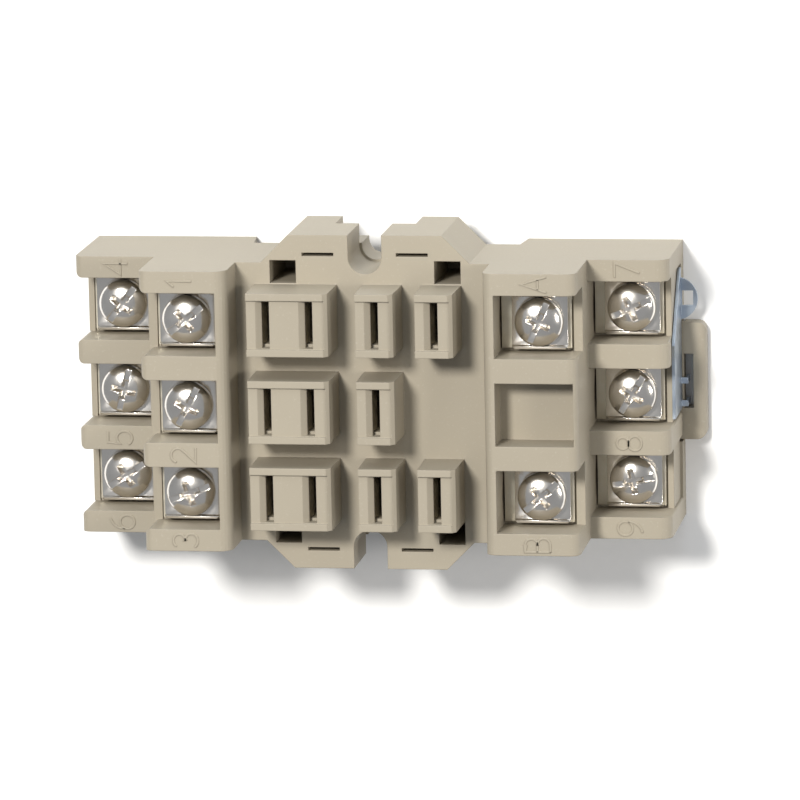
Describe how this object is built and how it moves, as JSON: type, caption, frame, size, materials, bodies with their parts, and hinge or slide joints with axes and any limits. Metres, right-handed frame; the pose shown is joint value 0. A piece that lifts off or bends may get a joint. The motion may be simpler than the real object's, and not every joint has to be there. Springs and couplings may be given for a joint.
{
  "type": "relay socket",
  "caption": "Rail or panel mounted relay socket with stepped towers of screw terminals on both sides of a field of blade slots, and a sprung rail latch.",
  "frame": {"origin": "centre of the footprint at the rear plane, latch included", "axes": "+X towards the rail latch, +Y across the rows of terminals, +Z from the rear plane to the terminals"},
  "size_m": [0.0828, 0.045, 0.028],
  "materials": {
    "housing": "moulded, fine satin, warm light grey",
    "latch": "moulded, fine satin, warm light grey",
    "screw": "bright nickel plate",
    "clamp": "bright nickel plate",
    "contact": "tin plate over brass",
    "spring": "blue passivated zinc plate"
  },
  "bodies": {
    "socket": {"housing": "housing", "base_cover": "housing", "latch_spring": "spring", "contact_1": "contact", "contact_2": "contact", "contact_3": "contact", "contact_4": "contact", "contact_5": "contact", "contact_6": "contact", "contact_7": "contact", "contact_8": "contact", "contact_9": "contact", "contact_a": "contact", "contact_b": "contact"},
    "latch": {"din_latch": "latch"},
    "clamp_1_plate": {"clamp_1": "clamp"},
    "screw_1_body": {"screw_1": "screw"},
    "clamp_2_plate": {"clamp_2": "clamp"},
    "screw_2_body": {"screw_2": "screw"},
    "clamp_3_plate": {"clamp_3": "clamp"},
    "screw_3_body": {"screw_3": "screw"},
    "clamp_4_plate": {"clamp_4": "clamp"},
    "screw_4_body": {"screw_4": "screw"},
    "clamp_5_plate": {"clamp_5": "clamp"},
    "screw_5_body": {"screw_5": "screw"},
    "clamp_6_plate": {"clamp_6": "clamp"},
    "screw_6_body": {"screw_6": "screw"},
    "clamp_7_plate": {"clamp_7": "clamp"},
    "screw_7_body": {"screw_7": "screw"},
    "clamp_8_plate": {"clamp_8": "clamp"},
    "screw_8_body": {"screw_8": "screw"},
    "clamp_9_plate": {"clamp_9": "clamp"},
    "screw_9_body": {"screw_9": "screw"},
    "clamp_a_plate": {"clamp_a": "clamp"},
    "screw_a_body": {"screw_a": "screw"},
    "clamp_b_plate": {"clamp_b": "clamp"},
    "screw_b_body": {"screw_b": "screw"}
  },
  "joints": [
    {"name": "latch_slide", "type": "slide", "parent": "socket", "child": "latch", "axis": [1, 0, 0], "range_m": [0, 0.0022], "stiffness_N_per_m": 1500, "springref_m": -0.001, "deforming": ["latch_spring"]},
    {"name": "clamp_1_lift", "type": "slide", "parent": "socket", "child": "clamp_1_plate", "axis": [0, 0, 1], "range_m": [0, 0.002]},
    {"name": "screw_1_turn", "type": "hinge", "parent": "clamp_1_plate", "child": "screw_1_body", "pos_m": [-0.0251, 0.01165, 0.0218], "axis": [0, 0, 1], "range_deg": [0, 1200]},
    {"name": "clamp_2_lift", "type": "slide", "parent": "socket", "child": "clamp_2_plate", "axis": [0, 0, 1], "range_m": [0, 0.002]},
    {"name": "screw_2_turn", "type": "hinge", "parent": "clamp_2_plate", "child": "screw_2_body", "pos_m": [-0.0251, 0, 0.0218], "axis": [0, 0, 1], "range_deg": [0, 1200]},
    {"name": "clamp_3_lift", "type": "slide", "parent": "socket", "child": "clamp_3_plate", "axis": [0, 0, 1], "range_m": [0, 0.002]},
    {"name": "screw_3_turn", "type": "hinge", "parent": "clamp_3_plate", "child": "screw_3_body", "pos_m": [-0.0251, -0.01165, 0.0218], "axis": [0, 0, 1], "range_deg": [0, 1200]},
    {"name": "clamp_4_lift", "type": "slide", "parent": "socket", "child": "clamp_4_plate", "axis": [0, 0, 1], "range_m": [0, 0.002]},
    {"name": "screw_4_turn", "type": "hinge", "parent": "clamp_4_plate", "child": "screw_4_body", "pos_m": [-0.0359, 0.01165, 0.0104], "axis": [0, 0, 1], "range_deg": [0, 1200]},
    {"name": "clamp_5_lift", "type": "slide", "parent": "socket", "child": "clamp_5_plate", "axis": [0, 0, 1], "range_m": [0, 0.002]},
    {"name": "screw_5_turn", "type": "hinge", "parent": "clamp_5_plate", "child": "screw_5_body", "pos_m": [-0.0359, 0, 0.0104], "axis": [0, 0, 1], "range_deg": [0, 1200]},
    {"name": "clamp_6_lift", "type": "slide", "parent": "socket", "child": "clamp_6_plate", "axis": [0, 0, 1], "range_m": [0, 0.002]},
    {"name": "screw_6_turn", "type": "hinge", "parent": "clamp_6_plate", "child": "screw_6_body", "pos_m": [-0.0359, -0.01165, 0.0104], "axis": [0, 0, 1], "range_deg": [0, 1200]},
    {"name": "clamp_7_lift", "type": "slide", "parent": "socket", "child": "clamp_7_plate", "axis": [0, 0, 1], "range_m": [0, 0.002]},
    {"name": "screw_7_turn", "type": "hinge", "parent": "clamp_7_plate", "child": "screw_7_body", "pos_m": [0.0327, 0.01165, 0.0104], "axis": [0, 0, 1], "range_deg": [0, 1200]},
    {"name": "clamp_8_lift", "type": "slide", "parent": "socket", "child": "clamp_8_plate", "axis": [0, 0, 1], "range_m": [0, 0.002]},
    {"name": "screw_8_turn", "type": "hinge", "parent": "clamp_8_plate", "child": "screw_8_body", "pos_m": [0.0327, 0, 0.0104], "axis": [0, 0, 1], "range_deg": [0, 1200]},
    {"name": "clamp_9_lift", "type": "slide", "parent": "socket", "child": "clamp_9_plate", "axis": [0, 0, 1], "range_m": [0, 0.002]},
    {"name": "screw_9_turn", "type": "hinge", "parent": "clamp_9_plate", "child": "screw_9_body", "pos_m": [0.0327, -0.01165, 0.0104], "axis": [0, 0, 1], "range_deg": [0, 1200]},
    {"name": "clamp_a_lift", "type": "slide", "parent": "socket", "child": "clamp_a_plate", "axis": [0, 0, 1], "range_m": [0, 0.002]},
    {"name": "screw_a_turn", "type": "hinge", "parent": "clamp_a_plate", "child": "screw_a_body", "pos_m": [0.0219, 0.01165, 0.0218], "axis": [0, 0, 1], "range_deg": [0, 1200]},
    {"name": "clamp_b_lift", "type": "slide", "parent": "socket", "child": "clamp_b_plate", "axis": [0, 0, 1], "range_m": [0, 0.002]},
    {"name": "screw_b_turn", "type": "hinge", "parent": "clamp_b_plate", "child": "screw_b_body", "pos_m": [0.0219, -0.01165, 0.0218], "axis": [0, 0, 1], "range_deg": [0, 1200]}
  ],
  "couplings": [
    {"joint": "screw_1_turn", "follows": "clamp_1_lift", "rad_per_m": 10472},
    {"joint": "screw_2_turn", "follows": "clamp_2_lift", "rad_per_m": 10472},
    {"joint": "screw_3_turn", "follows": "clamp_3_lift", "rad_per_m": 10472},
    {"joint": "screw_4_turn", "follows": "clamp_4_lift", "rad_per_m": 10472},
    {"joint": "screw_5_turn", "follows": "clamp_5_lift", "rad_per_m": 10472},
    {"joint": "screw_6_turn", "follows": "clamp_6_lift", "rad_per_m": 10472},
    {"joint": "screw_7_turn", "follows": "clamp_7_lift", "rad_per_m": 10472},
    {"joint": "screw_8_turn", "follows": "clamp_8_lift", "rad_per_m": 10472},
    {"joint": "screw_9_turn", "follows": "clamp_9_lift", "rad_per_m": 10472},
    {"joint": "screw_a_turn", "follows": "clamp_a_lift", "rad_per_m": 10472},
    {"joint": "screw_b_turn", "follows": "clamp_b_lift", "rad_per_m": 10472}
  ]
}
